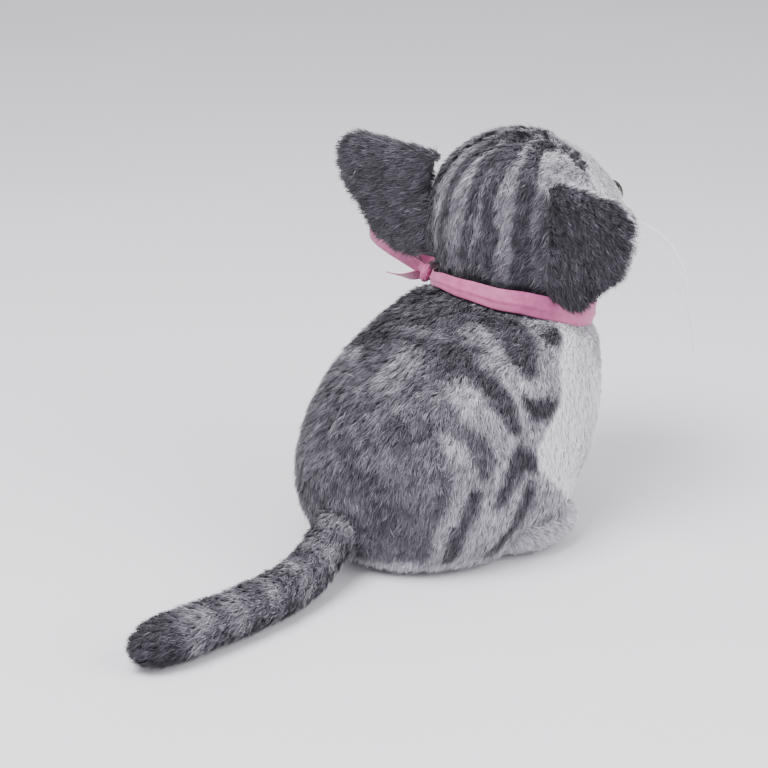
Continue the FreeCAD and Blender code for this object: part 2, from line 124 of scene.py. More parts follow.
def stroke(points, line, half_width, soft=1.6):
    """1 on a stripe along a line of points, falling to 0 past its half width."""
    line = np.array(line, float)
    best = np.full(len(points), 1e9)
    for start, end in zip(line[:-1], line[1:]):
        along = end - start
        share = np.clip(((points - start) @ along) / (along @ along), 0.0, 1.0)
        best = np.minimum(best, np.linalg.norm(points - start - share[:, None] * along, axis=1))
    return 1.0 - smooth(half_width - soft, half_width + soft, best)


# --- The coat's markings: tone runs from 0, darkest grey, to 1, white -----------------------

DARK, MID, LIGHT, PALE, WHITE = 0.13, 0.27, 0.63, 0.74, 0.99
# Each stripe: its line as (towards the tail, level), its half width and its tone.
FLANK_STRIPES = (
    (((18, 77), (15.5, 70), (13.5, 64)), 3.6, DARK),
    (((13.5, 65), (11.5, 59), (10, 54.5)), 2.4, DARK),
    (((32, 68), (31, 61), (28.5, 55), (25, 49), (23.5, 43)), 3.6, 0.30),
    (((5, 41.5), (9, 44), (11.5, 40)), 3.6, DARK),
    (((11, 41), (15, 36), (18, 30)), 2.5, 0.24),
    (((7, 31), (8.5, 25), (10.5, 19), (13, 13), (15.5, 8)), 2.7, DARK),
    (((27, 33), (30, 26), (32, 19), (32.5, 13), (34, 8)), 2.6, DARK),
    (((43, 19), (44, 10)), 3.4, 0.24),
    (((-8, 58.5), (-3, 59.0), (0, 60.5)), 3.7, 0.08),
    (((-1, 61), (4, 64.5)), 2.4, 0.10),
    (((-19, 80.5), (-14, 81)), 3.0, DARK),
    (((-4, 88), (-3, 82), (-2, 76)), 5.4, 0.17),
)
# Each stripe: its line as (longitude, latitude) and its half width.
HEAD_STRIPES = (
    (((-24, 84), (-12, 70), (-8, 55), (-1, 38), (-1, 15), (1, -5), (2, -20), (0, -45)), 2.9),
    (((-52, 80), (-24, 66), (-17, 45), (-15, 35), (-12, 20), (-14, 0), (-13, -15), (-12, -45)), 2.7),
    (((-84, 66), (-58, 66), (-44, 52), (-40, 38), (-38, 15), (-37, -5), (-39, -20), (-42, -42)), 3.7),
    (((-16, 0), (-12, -20), (-10, -42)), 4.2),
    (((24, 82), (17, 62), (17, 50), (20, 35), (22, 22), (21, 5), (27, -12), (29, -42)), 3.0),
    (((60, 66), (44, 52), (42, 34), (46, 14), (44, -8), (46, -36)), 2.6),
    (((-121, 50), (-99, 50)), 1.7),
    (((-113, 59), (-97, 59)), 1.5),
    (((-111, 42), (-98, 43)), 1.4),
    (((-150, 76), (-96, 72)), 1.6),
    (((121, 50), (99, 50)), 1.7),
    (((113, 59), (97, 59)), 1.5),
    (((150, 76), (96, 72)), 1.6),
    (((172, 62), (165, 72), (90, 84)), 1.5),
    (((-172, 62), (-165, 72), (-90, 84)), 1.5),
)
HEAD_REACH = 36.0
# Where the dark back and the white chest end on the flank: level, place towards the tail.
BACK_EDGE = (
    (0, 52), (8, 45), (22, 41), (32, 37), (42, 36), (52, 37), (60, 34), (66, 30), (71, 25), (76, 19),
    (80, 6), (84, -6), (88, -13), (95, -34),
)
CHEST_EDGE = (
    (0, -26), (10, -22), (20, -17), (25, -12), (30, -6), (35, 0), (40, 2), (45, 2), (50, -2), (55, -8),
    (60, -11), (70, -15), (75, -18), (80, -21), (95, -31),
)
# Where the white face starts: latitude, longitude. And the head's half width at each level.
FACE_EDGE = ((-50, 122), (0, 110), (20, 98), (30, 98), (38, 106), (45, 118), (70, 150), (90, 185))
HEAD_WIDTHS = ((-34, 27.5), (-26, 33), (-16, 38), (-4, 38), (8, 34.5), (19, 27), (27, 16), (31, 4))


def torso_tone(points):
    """Dark back with tongues reaching down the flanks, and a white chest."""
    wobble = np.stack([noise(points, 9.0, 3) * 1.6, noise(points, 9.0, 5) * 1.6], 1)
    side = np.where(points[:, 0] < 0, 0.0, 1.0)
    flat = points[:, 1:] + wobble + np.stack([side * -2.5, side * 1.5], 1)
    y, z = flat[:, 0], flat[:, 1]
    back_edge = np.interp(z, *np.transpose(BACK_EDGE))
    mottle = noise(points, 3.5, 1) * 0.11 + noise(points, 9.0, 2) * 0.10
    tone = LIGHT - 0.03 + mottle * 0.6
    spine = (1.0 - smooth(24.0, 30.0, np.abs(points[:, 0]) + wobble[:, 0])) * smooth(54.0, 62.0, z)
    dark = np.maximum(smooth(-3.0, 3.0, y - back_edge), spine)
    high_patch = smooth(0.0, 0.6, noise(points, 13.0, 8)) * smooth(58, 72, z) * 0.24
    tone = tone + (MID + mottle + high_patch - tone) * dark
    for line, half_width, depth in FLANK_STRIPES:
        mask = stroke(flat, line, half_width, 2.1)
        tone = tone + (np.minimum(depth + mottle * 0.5, tone) - tone) * mask
    hem = 1.0 - smooth(3.0, 10.0, z)
    tone = tone + (PALE - tone) * hem * 0.8
    chest_edge = np.interp(z, *np.transpose(CHEST_EDGE))
    white = 1.0 - smooth(-2.0, 2.0, y - chest_edge)
    return tone + (WHITE - tone) * white


def foot_tone(points):
    tone = torso_tone(points)
    front = 1.0 - smooth(-16.0, -4.0, points[:, 1])
    light = LIGHT + 0.05 + noise(points, 4.0, 4) * 0.06
    tone = tone + (light - tone) * front
    return np.minimum(tone, 0.80)


def white_tone(points):
    return np.full(len(points), WHITE)


def around_head(longitude, latitude):
    """A direction from the head's middle: 0 longitude is straight back, and its left is positive."""
    turn, rise = radians(longitude), radians(latitude)
    return (HEAD_REACH * cos(rise) * sin(turn), HEAD_REACH * cos(rise) * cos(turn), HEAD_REACH * sin(rise))


def head_tone(points):
    """Stripes that run from the forehead over the crown to the nape, a white face, and painted shade low on
    the back and sides.
    """
    local = to_head(points)
    local = local + np.stack([noise(points, 8.0, s) * 1.2 for s in (21, 22, 23)], 1)
    outward = unit(local) * HEAD_REACH
    mottle = noise(points, 3.5, 24) * 0.11 + noise(points, 11.0, 25) * 0.06
    tone = LIGHT + mottle
    latitude = np.degrees(np.arcsin(outward[:, 2] / HEAD_REACH))
    longitude = np.degrees(np.arctan2(np.abs(outward[:, 0]), outward[:, 1]))
    face_edge = np.interp(latitude, *np.transpose(FACE_EDGE))
    tone = tone + (WHITE - tone) * smooth(-3.0, 3.0, longitude - face_edge)
    tone = tone + 0.10 * smooth(38, 52, latitude) * smooth(45, 65, longitude)
    # Painted shade: low on the back and sides of the head, where it turns under towards the neck, the tone
    # is darkened, and a mid-dark zone of painted shade lies low on each cheek. The further 0.10 darkening of
    # the back of the head is the coat's own tone.
    low = smooth(20, -30, latitude) * (1.0 - smooth(70, 95, longitude))
    painted_cheek_shade = smooth(40, 47, longitude) * (1.0 - smooth(72, 84, longitude)) * (1.0 - smooth(20, 30, latitude))
    tone = tone - 0.14 * low - 0.10 * (1.0 - smooth(45, 60, longitude))
    tone = tone + (0.30 + mottle - tone) * painted_cheek_shade * 0.85
    for line, half_width in HEAD_STRIPES:
        mask = stroke(outward, [around_head(*place) for place in line], half_width, 1.2)
        tone = tone + (DARK + 0.05 + mottle * 0.8 - tone) * mask
    return tone


def beyond_head(local):
    """How far outside the head's side a point of an ear is, in its own level."""
    half_width = np.interp(local[:, 2], *np.transpose(HEAD_WIDTHS))
    share = np.clip((local[:, 1] + 7.0) / (half_width * 1.05), -1.0, 1.0)
    return np.abs(local[:, 0]) - half_width * np.sqrt(1.0 - share**2)


def ear_lean(local, reach):
    """How far an ear is set back from its flat plate: its top leans back and its rims are cupped forward."""
    lean = np.where((local[:, 0] < 0) & (local[:, 2] > 0), 0.17, 0.06) * local[:, 2]
    return lean - (np.abs(local[:, 2]) / 24.0) ** 2 * 1.6 * smooth(2.0, 20.0, reach)


def ear_tone(points):
    """Dark behind, pale in front."""
    local = to_head(points)
    sweep = radians(13.0)
    reach = beyond_head(local)
    set_back = local[:, 1] - 16.0 - ear_lean(local, reach)
    depth = set_back * cos(sweep) - (np.abs(local[:, 0]) - 27.0) * sin(sweep)
    rim = np.where(local[:, 0] < 0, 1.3, 0.0) * smooth(17.0, 20.5, local[:, 2])
    front = (1.0 - smooth(-0.9, -0.1, depth - rim)) * smooth(3.0, 6.0, reach)
    back_tone = DARK - 0.02 + noise(points, 4.0, 31) * 0.08
    return back_tone + (0.86 - back_tone) * front


def tail_place(points):
    """How far along the tail each point lies, and the tail's direction there."""
    best = np.full(len(points), 1e9)
    reach = np.zeros(len(points))
    heading = np.zeros((len(points), 3))
    gone = 0.0
    for start, end in zip(TAIL_LINE[:-1], TAIL_LINE[1:]):
        along = end - start
        length = np.linalg.norm(along)
        share = np.clip(((points - start) @ along) / length**2, 0.0, 1.0)
        away = np.linalg.norm(points - start - share[:, None] * along, axis=1)
        nearer = away < best
        best = np.where(nearer, away, best)
        reach = np.where(nearer, gone + share * length, reach)
        heading[nearer] = along / length
        gone += length
    return reach, heading, gone


def tail_tone(points):
    """Ringed, with a dark tip."""
    reach, _, length = tail_place(points)
    wave = np.sin((reach + noise(points, 7.0, 41) * 2.5) * 2.0 * pi / 15.5 + 0.6)
    tone = 0.37 + wave * 0.10 + noise(points, 4.0, 42) * 0.10
    tip = smooth(length - 17.0, length - 10.0, reach)
    return tone + (DARK - 0.02 - tone) * tip


# --- Which way the pile is combed -----------------------------------------------------------

def torso_comb(points):
    lean = np.tile((0.0, 0.45, -1.0), (len(points), 1))
    lean[:, 1] += smooth(60, 90, points[:, 2]) * 1.0
    lean[:, 0] += noise(points, 14.0, 51) * 0.45
    lean[:, 1] += noise(points, 14.0, 52) * 0.35
    return lean


def foot_comb(points):
    lean = np.tile((0.0, -0.8, -0.8), (len(points), 1))
    lean[:, 0] += noise(points, 8.0, 53) * 0.4
    return lean


def foreleg_comb(points):
    return np.tile((0.0, -0.1, -1.0), (len(points), 1))


def head_comb(points):
    local = to_head(points)
    lean = np.tile((0.0, 1.0, -0.55), (len(points), 1))
    lean[:, 2] -= smooth(10, 30, local[:, 1]) * 0.8
    lean[:, 1] *= np.where(local[:, 1] < -20, 0.25, 1.0)
    lean[:, 0] += noise(points, 12.0, 54) * 0.4
    return lean @ HEAD_TURN.T


def ear_comb(points):
    local = to_head(points)
    lean = np.stack([np.sign(local[:, 0]), np.full(len(points), 0.2), np.full(len(points), -0.45)], 1)
    lean[:, 2] += np.where(local[:, 2] > 12, 0.30, 0.0) - smooth(5, -20, local[:, 2]) * 0.3
    lean[:, 2] += noise(points, 9.0, 55) * 0.25
    return lean @ HEAD_TURN.T


def tail_comb(points):
    _, heading, _ = tail_place(points)
    lean = heading.copy()
    lean[:, 0] += noise(points, 9.0, 56) * 0.3
    return lean


# --- Materials -------------------------------------------------------------------------------

def principled(name, colour, roughness=0.8, specular=0.3, sheen=0.0, transmission=0.0):
    material = bpy.data.materials.new(name)
    material.use_nodes = True
    shader = material.node_tree.nodes["Principled BSDF"]
    shader.inputs["Base Color"].default_value = (*colour, 1.0)
    shader.inputs["Roughness"].default_value = roughness
    shader.inputs["Specular IOR Level"].default_value = specular
    shader.inputs["Sheen Weight"].default_value = sheen
    shader.inputs["Transmission Weight"].default_value = transmission
    return material, material.node_tree, shader


def add_noise(tree, scale, detail=4.0, vector=None):
    node = tree.nodes.new("ShaderNodeTexNoise")
    node.inputs["Scale"].default_value = scale
    node.inputs["Detail"].default_value = detail
    if vector is None:
        vector = tree.nodes.new("ShaderNodeTexCoord").outputs["Object"]
    tree.links.new(vector, node.inputs["Vector"])
    return node.outputs["Fac"]


def add_ramp(tree, factor, stops):
    node = tree.nodes.new("ShaderNodeValToRGB")
    elements = node.color_ramp.elements
    while len(elements) < len(stops):
        elements.new(0.5)
    for element, (position, colour) in zip(elements, stops):
        element.position = position
        element.color = (*colour, 1.0)
    tree.links.new(factor, node.inputs["Fac"])
    return node.outputs["Color"]


def add_bump(tree, shader, height, distance, strength=1.0):
    node = tree.nodes.new("ShaderNodeBump")
    node.inputs["Distance"].default_value = distance
    node.inputs["Strength"].default_value = strength
    tree.links.new(height, node.inputs["Height"])
    tree.links.new(node.outputs["Normal"], shader.inputs["Normal"])


SHADES = (
    (0.024, 0.022, 0.029), (0.055, 0.051, 0.065), (0.105, 0.098, 0.122), (0.190, 0.180, 0.212),
    (0.330, 0.315, 0.360), (0.500, 0.482, 0.535), (0.680, 0.662, 0.708), (0.880, 0.868, 0.895),
)


def pile_materials():
    """One material for each shade of a strand."""
    return [
        principled(f"pile_shade_{index}", colour, 0.72, 0.22, 0.15)[0]
        for index, colour in enumerate(SHADES)
    ]


def skin_material():
    """The knitted ground that the pile stands in, printed with the coat's markings."""
    material, tree, shader = principled("printed_ground", (0.3, 0.28, 0.33), 0.92, 0.1, 0.2)
    attribute = tree.nodes.new("ShaderNodeAttribute")
    attribute.attribute_name = "tone"
    grain = add_noise(tree, 900.0, 3.0)
    spread = tree.nodes.new("ShaderNodeMath")
    spread.operation = "MULTIPLY_ADD"
    spread.inputs[1].default_value = 0.30
    spread.inputs[2].default_value = -0.19
    tree.links.new(grain, spread.inputs[0])
    total = tree.nodes.new("ShaderNodeMath")
    total.operation = "ADD"
    tree.links.new(attribute.outputs["Fac"], total.inputs[0])
    tree.links.new(spread.outputs["Value"], total.inputs[1])
    stops = [(index / (len(SHADES) - 1), colour) for index, colour in enumerate(SHADES)]
    tree.links.new(add_ramp(tree, total.outputs["Value"], stops), shader.inputs["Base Color"])
    add_bump(tree, shader, grain, 0.0006)
    return material


def mottled(name, dark, light, scale, roughness=0.85, bump=0.0004, **extra):
    material, tree, shader = principled(name, light, roughness, **extra)
    grain = add_noise(tree, scale)
    tree.links.new(add_ramp(tree, grain, ((0.35, dark), (0.65, light))), shader.inputs["Base Color"])
    add_bump(tree, shader, grain, bump)
    return material


def woven(name, dark, light, across):
    """Fine ribs of thread."""
    material, tree, shader = principled(name, light, 0.42, 0.4, 0.1)
    coordinates = tree.nodes.new("ShaderNodeTexCoord").outputs["Object"]
    wave = tree.nodes.new("ShaderNodeTexWave")
    wave.inputs["Scale"].default_value = across
    wave.inputs["Distortion"].default_value = 1.5
    wave.inputs["Detail"].default_value = 2.0
    wave.bands_direction = "Z"
    tree.links.new(coordinates, wave.inputs["Vector"])
    grain = add_noise(tree, 260.0, 3.0)
    tree.links.new(add_ramp(tree, grain, ((0.3, dark), (0.7, light))), shader.inputs["Base Color"])
    add_bump(tree, shader, wave.outputs["Fac"], 0.00012, 0.6)
    return material


PILE = pile_materials()
GROUND = skin_material()
RIBBON = woven("ribbon_satin", (0.37, 0.070, 0.19), (0.50, 0.115, 0.27), 900.0)
STUFFING = mottled("stuffing_fibre", (0.72, 0.72, 0.70), (0.90, 0.90, 0.88), 400.0)
PELLET_CLOTH = mottled("pellet_bag_cloth", (0.60, 0.58, 0.52), (0.82, 0.80, 0.74), 700.0)
EYE = mottled("eye_gloss", (0.010, 0.008, 0.008), (0.022, 0.016, 0.014), 300.0, 0.08, 0.00001, specular=0.6)
WASHER = mottled("washer_plastic", (0.66, 0.66, 0.64), (0.80, 0.80, 0.78), 300.0, 0.5, 0.00005)
NOSE = woven("nose_stitching", (0.42, 0.13, 0.17), (0.62, 0.26, 0.31), 1400.0)
MOUTH = mottled("mouth_thread", (0.030, 0.022, 0.026), (0.075, 0.055, 0.060), 1500.0, 0.7, 0.0001)
WHISKER = mottled(
    "whisker_filament", (0.86, 0.84, 0.88), (0.97, 0.96, 0.98), 500.0, 0.3, 0.00002, transmission=0.1
)

# --- Padded skins ------------------------------------------------------------------------------

def activate(thing):
    for other in bpy.context.selected_objects:
        other.select_set(False)
    thing.select_set(True)
    bpy.context.view_layer.objects.active = thing


def applied(thing, name):
    """Makes a modifier's result permanent."""
    activate(thing)
    bpy.ops.object.modifier_apply(modifier=name)


def coordinates_of(mesh):
    flat = np.empty(len(mesh.vertices) * 3)
    mesh.vertices.foreach_get("co", flat)
    return flat.reshape(-1, 3)


def write_coordinates(mesh, points):
    mesh.vertices.foreach_set("co", points.ravel())
    mesh.update()


def vertex_normals(mesh):
    flat = np.empty(len(mesh.vertices) * 3, np.float32)
    mesh.vertices.foreach_get("normal", flat)
    return flat.reshape(-1, 3).astype(float)


def joined_copy(name, nodes):
    """One mesh made of copies of the CAD nodes' meshes."""
    points, faces, start = [], [], 0
    for node in nodes:
        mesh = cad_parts[node].data
        points.append(coordinates_of(mesh))
        faces.extend([tuple(v + start for v in polygon.vertices) for polygon in mesh.polygons])
        start += len(mesh.vertices)
    mesh = bpy.data.meshes.new(name)
    mesh.from_pydata(np.concatenate(points).tolist(), [], faces)
    thing = bpy.data.objects.new(name, mesh)
    bpy.context.scene.collection.objects.link(thing)
    return thing


def swell(thing, cap, frames=20):
    """Blows the skin up as cloth, lets no point move further than the cap, and drops the modifier."""
    start = coordinates_of(thing.data)
    cloth = thing.modifiers.new("cloth", "CLOTH")
    settings = cloth.settings
    settings.quality = 5
    settings.mass = 0.1
    settings.use_pressure = True
    settings.uniform_pressure_force = 4.0
    settings.tension_stiffness = 12.0
    settings.bending_stiffness = 0.3
    settings.effector_weights.gravity = 0.0
    cloth.collision_settings.use_collision = False
    cloth.point_cache.frame_start = 1
    cloth.point_cache.frame_end = frames
    scene = bpy.context.scene
    for number in range(1, frames + 1):
        scene.frame_set(number)
    swollen = thing.evaluated_get(bpy.context.evaluated_depsgraph_get()).data
    moved = coordinates_of(swollen) - start
    thing.modifiers.remove(cloth)
    scene.frame_set(1)
    distance = np.linalg.norm(moved, axis=1, keepdims=True)
    write_coordinates(thing.data, start + moved * np.minimum(1.0, cap / np.maximum(distance, 1e-9)))


def attach(thing, body):
    """Rides on a body; an ear, whose body is given as the head, its own body and two seam points, just has
    its placement baked into its mesh.
    """
    if isinstance(body, str):
        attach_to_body(thing, body)
    else:
        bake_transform(thing)


def skin(name, nodes, body, tone, voxel, inset, cap, shape=None, under=()):
    """A padded piece in place of a sewn cover and its stuffing, which also fills the room under others."""
    thing = joined_copy(name, (*nodes, *under))
    remesh = thing.modifiers.new("remesh", "REMESH")
    remesh.mode = "VOXEL"
    remesh.voxel_size = voxel * MM
    applied(thing, "remesh")
    thing.modifiers.new("even", "SMOOTH").iterations = 3
    applied(thing, "even")
    points = coordinates_of(thing.data) - vertex_normals(thing.data) * inset * MM
    if shape is not None:
        points = shape(points / MM) * MM
    write_coordinates(thing.data, points)
    swell(thing, cap * MM)
    thing.modifiers.new("rounded", "SUBSURF").levels = 1
    applied(thing, "rounded")
    points = coordinates_of(thing.data)
    points[:, 2] = np.maximum(points[:, 2], 0.0008)
    write_coordinates(thing.data, points)
    thing.data.shade_smooth()
    attribute = thing.data.attributes.new("tone", "FLOAT", "POINT")
    attribute.data.foreach_set("value", tone(points / MM).astype(np.float32))
    thing.data.materials.append(GROUND)
    attach(thing, body)
    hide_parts(*nodes)
    return thing


# --- Pile ------------------------------------------------------------------------------------

STRANDS_A_PIECE = 60000
TUFT_SIZE = 14.0


def scatter(mesh, count, rng):
    """Random points on a mesh, with its smooth normals there."""
    mesh.calc_loop_triangles()
    corners = np.empty(len(mesh.loop_triangles) * 3, np.int32)
    mesh.loop_triangles.foreach_get("vertices", corners)
    corners = corners.reshape(-1, 3)
    points, normals = coordinates_of(mesh), vertex_normals(mesh)
    a, b, c = (points[corners[:, i]] for i in range(3))
    area = np.linalg.norm(np.cross(b - a, c - a), axis=1)
    chosen = rng.choice(len(area), count, p=area / area.sum())
    first, second = rng.random(count), rng.random(count)
    over = first + second > 1.0
    first[over], second[over] = 1.0 - first[over], 1.0 - second[over]
    shares = np.stack([1.0 - first - second, first, second], 1)
    at = sum(points[corners[chosen, i]] * shares[:, i : i + 1] for i in range(3))
    facing = unit(sum(normals[corners[chosen, i]] * shares[:, i : i + 1] for i in range(3)))
    return at / MM, facing


def surface_area(mesh):
    return sum(polygon.area for polygon in mesh.polygons) / MM**2


def strands_mesh(name, roots, tips, bends, widths, facing, shades):
    """A mesh of tapering strands, each a quad and a triangle."""
    count = len(roots)
    across = unit(np.cross(tips - roots, facing))
    half = across * widths[:, None] / 2.0
    rows = np.stack([roots - half, roots + half, bends + half * 0.85, bends - half * 0.85, tips], 1)
    rows[:, :, 2] = np.maximum(rows[:, :, 2], 0.3)
    mesh = bpy.data.meshes.new(name)
    mesh.vertices.add(count * 5)
    mesh.vertices.foreach_set("co", (rows.reshape(-1, 3) * MM).ravel())
    loops = np.arange(count)[:, None] * 5 + np.array((0, 1, 2, 3, 3, 2, 4))
    mesh.loops.add(count * 7)
    mesh.loops.foreach_set("vertex_index", loops.ravel().astype(np.int32))
    mesh.polygons.add(count * 2)
    starts = np.arange(count)[:, None] * 7 + np.array((0, 4))
    mesh.polygons.foreach_set("loop_start", starts.ravel().astype(np.int32))
    mesh.polygons.foreach_set("material_index", np.repeat(shades, 2).astype(np.int32))
    mesh.update(calc_edges=True)
    mesh.polygons.foreach_set("use_smooth", np.ones(count * 2, bool))
    mesh.normals_split_custom_set_from_vertices(np.repeat(facing, 5, axis=0).tolist())
    for material in PILE:
        mesh.materials.append(material)
    thing = bpy.data.objects.new(name, mesh)
    bpy.context.scene.collection.objects.link(thing)
    return thing


def clump(points, size, rng):
    """Gathers strands into tufts: the tuft that each one belongs to, and where its middle is."""
    count = max(8, int(len(points) / size))
    centres = points[rng.choice(len(points), count, replace=False)]
    tree = KDTree(count)
    for index, centre in enumerate(centres):
        tree.insert(centre, index)
    tree.balance()
    owner = np.array([tree.find(point)[1] for point in points])
    return owner, centres


def pile(name, ground, tone, comb, density, length, lift, seed, body, keep=None):
    """Grows the pile on a skin, shorter where it is white, and splits it into pieces of a fair size."""
    rng = np.random.default_rng(seed)
    count = int(surface_area(ground.data) * density * (1.0))
    roots, facing = scatter(ground.data, count, rng)
    if keep is not None:
        kept = keep(roots, facing)
        roots, facing = roots[kept], facing[kept]
    count = len(roots)
    value = tone(roots)
    owner, centres = clump(roots, TUFT_SIZE, rng)
    tufts = len(centres)
    lean = comb(roots)
    lean = unit(lean - facing * np.sum(lean * facing, axis=1, keepdims=True))
    stray = rng.normal(0.0, 0.22, (count, 3)) + rng.normal(0.0, 0.20, (tufts, 3))[owner]
    stray -= facing * np.sum(stray * facing, axis=1, keepdims=True)
    white = smooth(0.82, 0.92, value)
    calm = (1.0 - 0.6 * white)[:, None]
    lean = unit(lean + stray * calm)
    tall = length * rng.uniform(0.75, 1.15, count) * rng.uniform(0.85, 1.12, tufts)[owner]
    tall *= 1.0 - 0.45 * white
    rise = lift * rng.uniform(0.8, 1.2, count) * rng.uniform(0.75, 1.25, tufts)[owner]
    rise *= 1.0 + 0.15 * white
    rise = np.clip(rise, 0.15, 0.9)
    forward = lean * np.sqrt(1 - rise**2)[:, None]
    upward = facing * rise[:, None]
    bends = roots + (forward * 0.45 + upward * 0.72) * tall[:, None]
    tips = roots + (forward + upward) * tall[:, None]
    gather = (centres[owner] - roots) * rng.uniform(0.25, 0.6, count)[:, None] * (1.0 - 0.5 * white)[:, None]
    gather -= facing * np.sum(gather * facing, axis=1, keepdims=True)
    tips = tips + gather
    bends = bends + gather * 0.4
    widths = rng.uniform(0.20, 0.34, count)
    value = tone(roots + (tips - roots) * 0.7)
    spread = 0.10 * (1.0 - 0.8 * smooth(0.82, 0.92, value))
    value = value + rng.normal(0.0, 1.0, count) * spread
    value = value + rng.normal(0.0, 0.05, tufts)[owner] * (1 - 0.7 * white)
    shades = np.clip(np.round(value * (len(SHADES) - 1)), 0, len(SHADES) - 1).astype(int)
    soft_facing = unit(facing + (rng.normal(0.0, 0.16, (count, 3)) + lean * 0.25) * calm)
    pieces = int(np.ceil(count / STRANDS_A_PIECE))
    parts = []
    for number in range(pieces):
        part = slice(number * count // pieces, (number + 1) * count // pieces)
        rows = (values[part] for values in (roots, tips, bends, widths, soft_facing, shades))
        strands = strands_mesh(f"{name}_{number + 1}", *rows)
        attach(strands, body)
        parts.append(strands)
    return parts


def off_neck(side):
    """Keeps the pile out of the space that the ribbon lies in, which is narrower by the knot."""
    def keep(points, facing):
        offset = points - NECK_AT
        turn = np.arctan2(offset @ NECK_BACK, offset @ NECK_ACROSS)
        limit = 5.0 - 1.7 * np.exp(-(((turn - radians(60.0)) / radians(55.0)) ** 2))
        return offset @ NECK_AXIS * side > limit
    return keep


def not_below(points, facing):
    return (points[:, 2] > 1.4) | (facing[:, 2] > -0.6)


def torso_keep(points, facing):
    return off_neck(-1.0)(points, facing) & not_below(points, facing)


def ear_shape(points):
    """Runs the ear's root into the head, leans and cups it, and draws its lower edge in."""
    local = to_head(points)
    right = local[:, 0] < 0
    outward = np.sign(local[:, 0])
    reach = beyond_head(local)
    root = 1.0 - smooth(0.0, 8.0, reach)
    far = smooth(4.0, 22.0, reach)
    level = local[:, 2].copy()
    local[:, 1] += ear_lean(local, reach)
    gap = np.maximum(beyond_head(local) - reach, 0.0)
    local[:, 0] -= outward * root * (8.0 + gap + 4.0 * smooth(4.0, 14.0, level))
    drawn_at = np.where(right, -14.0, -9.0)
    local[:, 0] -= outward * 6.0 * np.exp(-(((level - drawn_at) / 9.0) ** 2)) * far
    local[:, 2] += np.where(right, 3.2, 0.0) * far * smooth(-6.0, 4.0, level)
    local[:, 2] -= np.where(right, 1.4, 0.0) * far * smooth(-4.0, -18.0, level)
    return local @ HEAD_TURN.T + HEAD_AT


def ear_keep(points, facing):
    """Leaves out the pile inside the head and beside the knot."""
    clear = np.linalg.norm(points - KNOT, axis=1) > 8.0
    return clear & (beyond_head(to_head(points)) > -1.0)


def torso_shape(points):
    """Draws the rump in round the tail, closing most of the room that the tail's travel needs in CAD."""
    away = points - TAIL_LINE[0]
    distance = np.linalg.norm(away, axis=1)
    drawn = np.interp(distance, (0.0, 15.2, 22.0), (8.8, 8.8, 22.0))
    share = smooth(8.0, 14.0, points[:, 2]) * (distance < 22.0)
    return points + away * ((drawn / np.maximum(distance, 1e-6) - 1.0) * share)[:, None]


PAIRS = (("left", 1), ("right", -1))
# Two points on each ear's seam, carried with the ear's body: out from the middle of the head, and back.
EAR_BEND = ((28.0, 16.0), (37.0, 18.0))
LIMB_NODES = [
    f"{kind}_{word}_{layer}"
    for kind in ("hind_foot", "foreleg")
    for word, _ in PAIRS
    for layer in ("cover", "stuffing")
]
torso = skin(
    "torso_plush", ("back_panel_left", "back_panel_right", "chest_panel", "base_panel", "torso_stuffing"),
    "torso", torso_tone, voxel=2.6, inset=2.6, cap=1.5,
    shape=torso_shape, under=LIMB_NODES,
)
pile(
    "torso_pile", torso, torso_tone, torso_comb, density=5.5, length=4.6, lift=0.42, seed=11,
    body="torso", keep=torso_keep,
)
head = skin(
    "head_plush", ("face_panel", "head_crown_gusset", "head_side_left", "head_side_right", "head_stuffing"),
    "head", head_tone, voxel=2.4, inset=2.4, cap=1.4,
)
pile(
    "head_pile", head, head_tone, head_comb, density=6.0, length=4.6, lift=0.42, seed=12,
    body="head", keep=off_neck(1.0),
)
muzzle = skin(
    "muzzle_plush", ("muzzle_cover", "muzzle_stuffing"),
    "head", white_tone, voxel=1.4, inset=1.2, cap=0.8,
)
pile(
    "muzzle_pile", muzzle, white_tone, head_comb, density=6.0, length=2.8, lift=0.5, seed=13,
    body="head",
)
tail = skin(
    "tail_plush", ("tail_cover", "tail_stuffing"),
    "tail", tail_tone, voxel=1.8, inset=2.2, cap=1.2,
)
pile(
    "tail_pile", tail, tail_tone, tail_comb, density=7.0, length=4.4, lift=0.45, seed=14,
    body="tail", keep=not_below,
)
for word, side in PAIRS:
    for kind, tone, comb, slot, length in (
        ("hind_foot", foot_tone, foot_comb, "tabby_fur", 4.2),
        ("foreleg", white_tone, foreleg_comb, "white_fur", 3.2),
    ):
        limb = skin(
            f"{kind}_{word}_plush", (f"{kind}_{word}_cover", f"{kind}_{word}_stuffing"),
            "torso", tone, voxel=1.8, inset=2.0, cap=1.2,
        )
        pile(
            f"{kind}_{word}_pile", limb, tone, comb, density=5.5, length=length, lift=0.42, seed=20 + side,
            body="torso", keep=not_below,
        )
    seam, tip = (HEAD_AT + HEAD_TURN @ np.array((side * x, y, 0.0)) for x, y in EAR_BEND)
    ear_body = ("head", f"ear_{word}", tuple(seam * MM), tuple(tip * MM))
    ear = skin(
        f"ear_{word}_plush", (f"ear_{word}_back", f"ear_{word}_lining"),
        ear_body, ear_tone, voxel=1.3, inset=0.9, cap=0.7, shape=ear_shape,
    )
    pile(
        f"ear_{word}_pile", ear, ear_tone, ear_comb, density=7.0, length=4.4, lift=0.36, seed=30 + side,
        body=ear_body, keep=ear_keep,
    )

# --- Ribbon ------------------------------------------------------------------------------------

RIBBON_CUT, RIBBON_WIDTH, BAND_RADIUS = 10.0, 8.8, 31.4


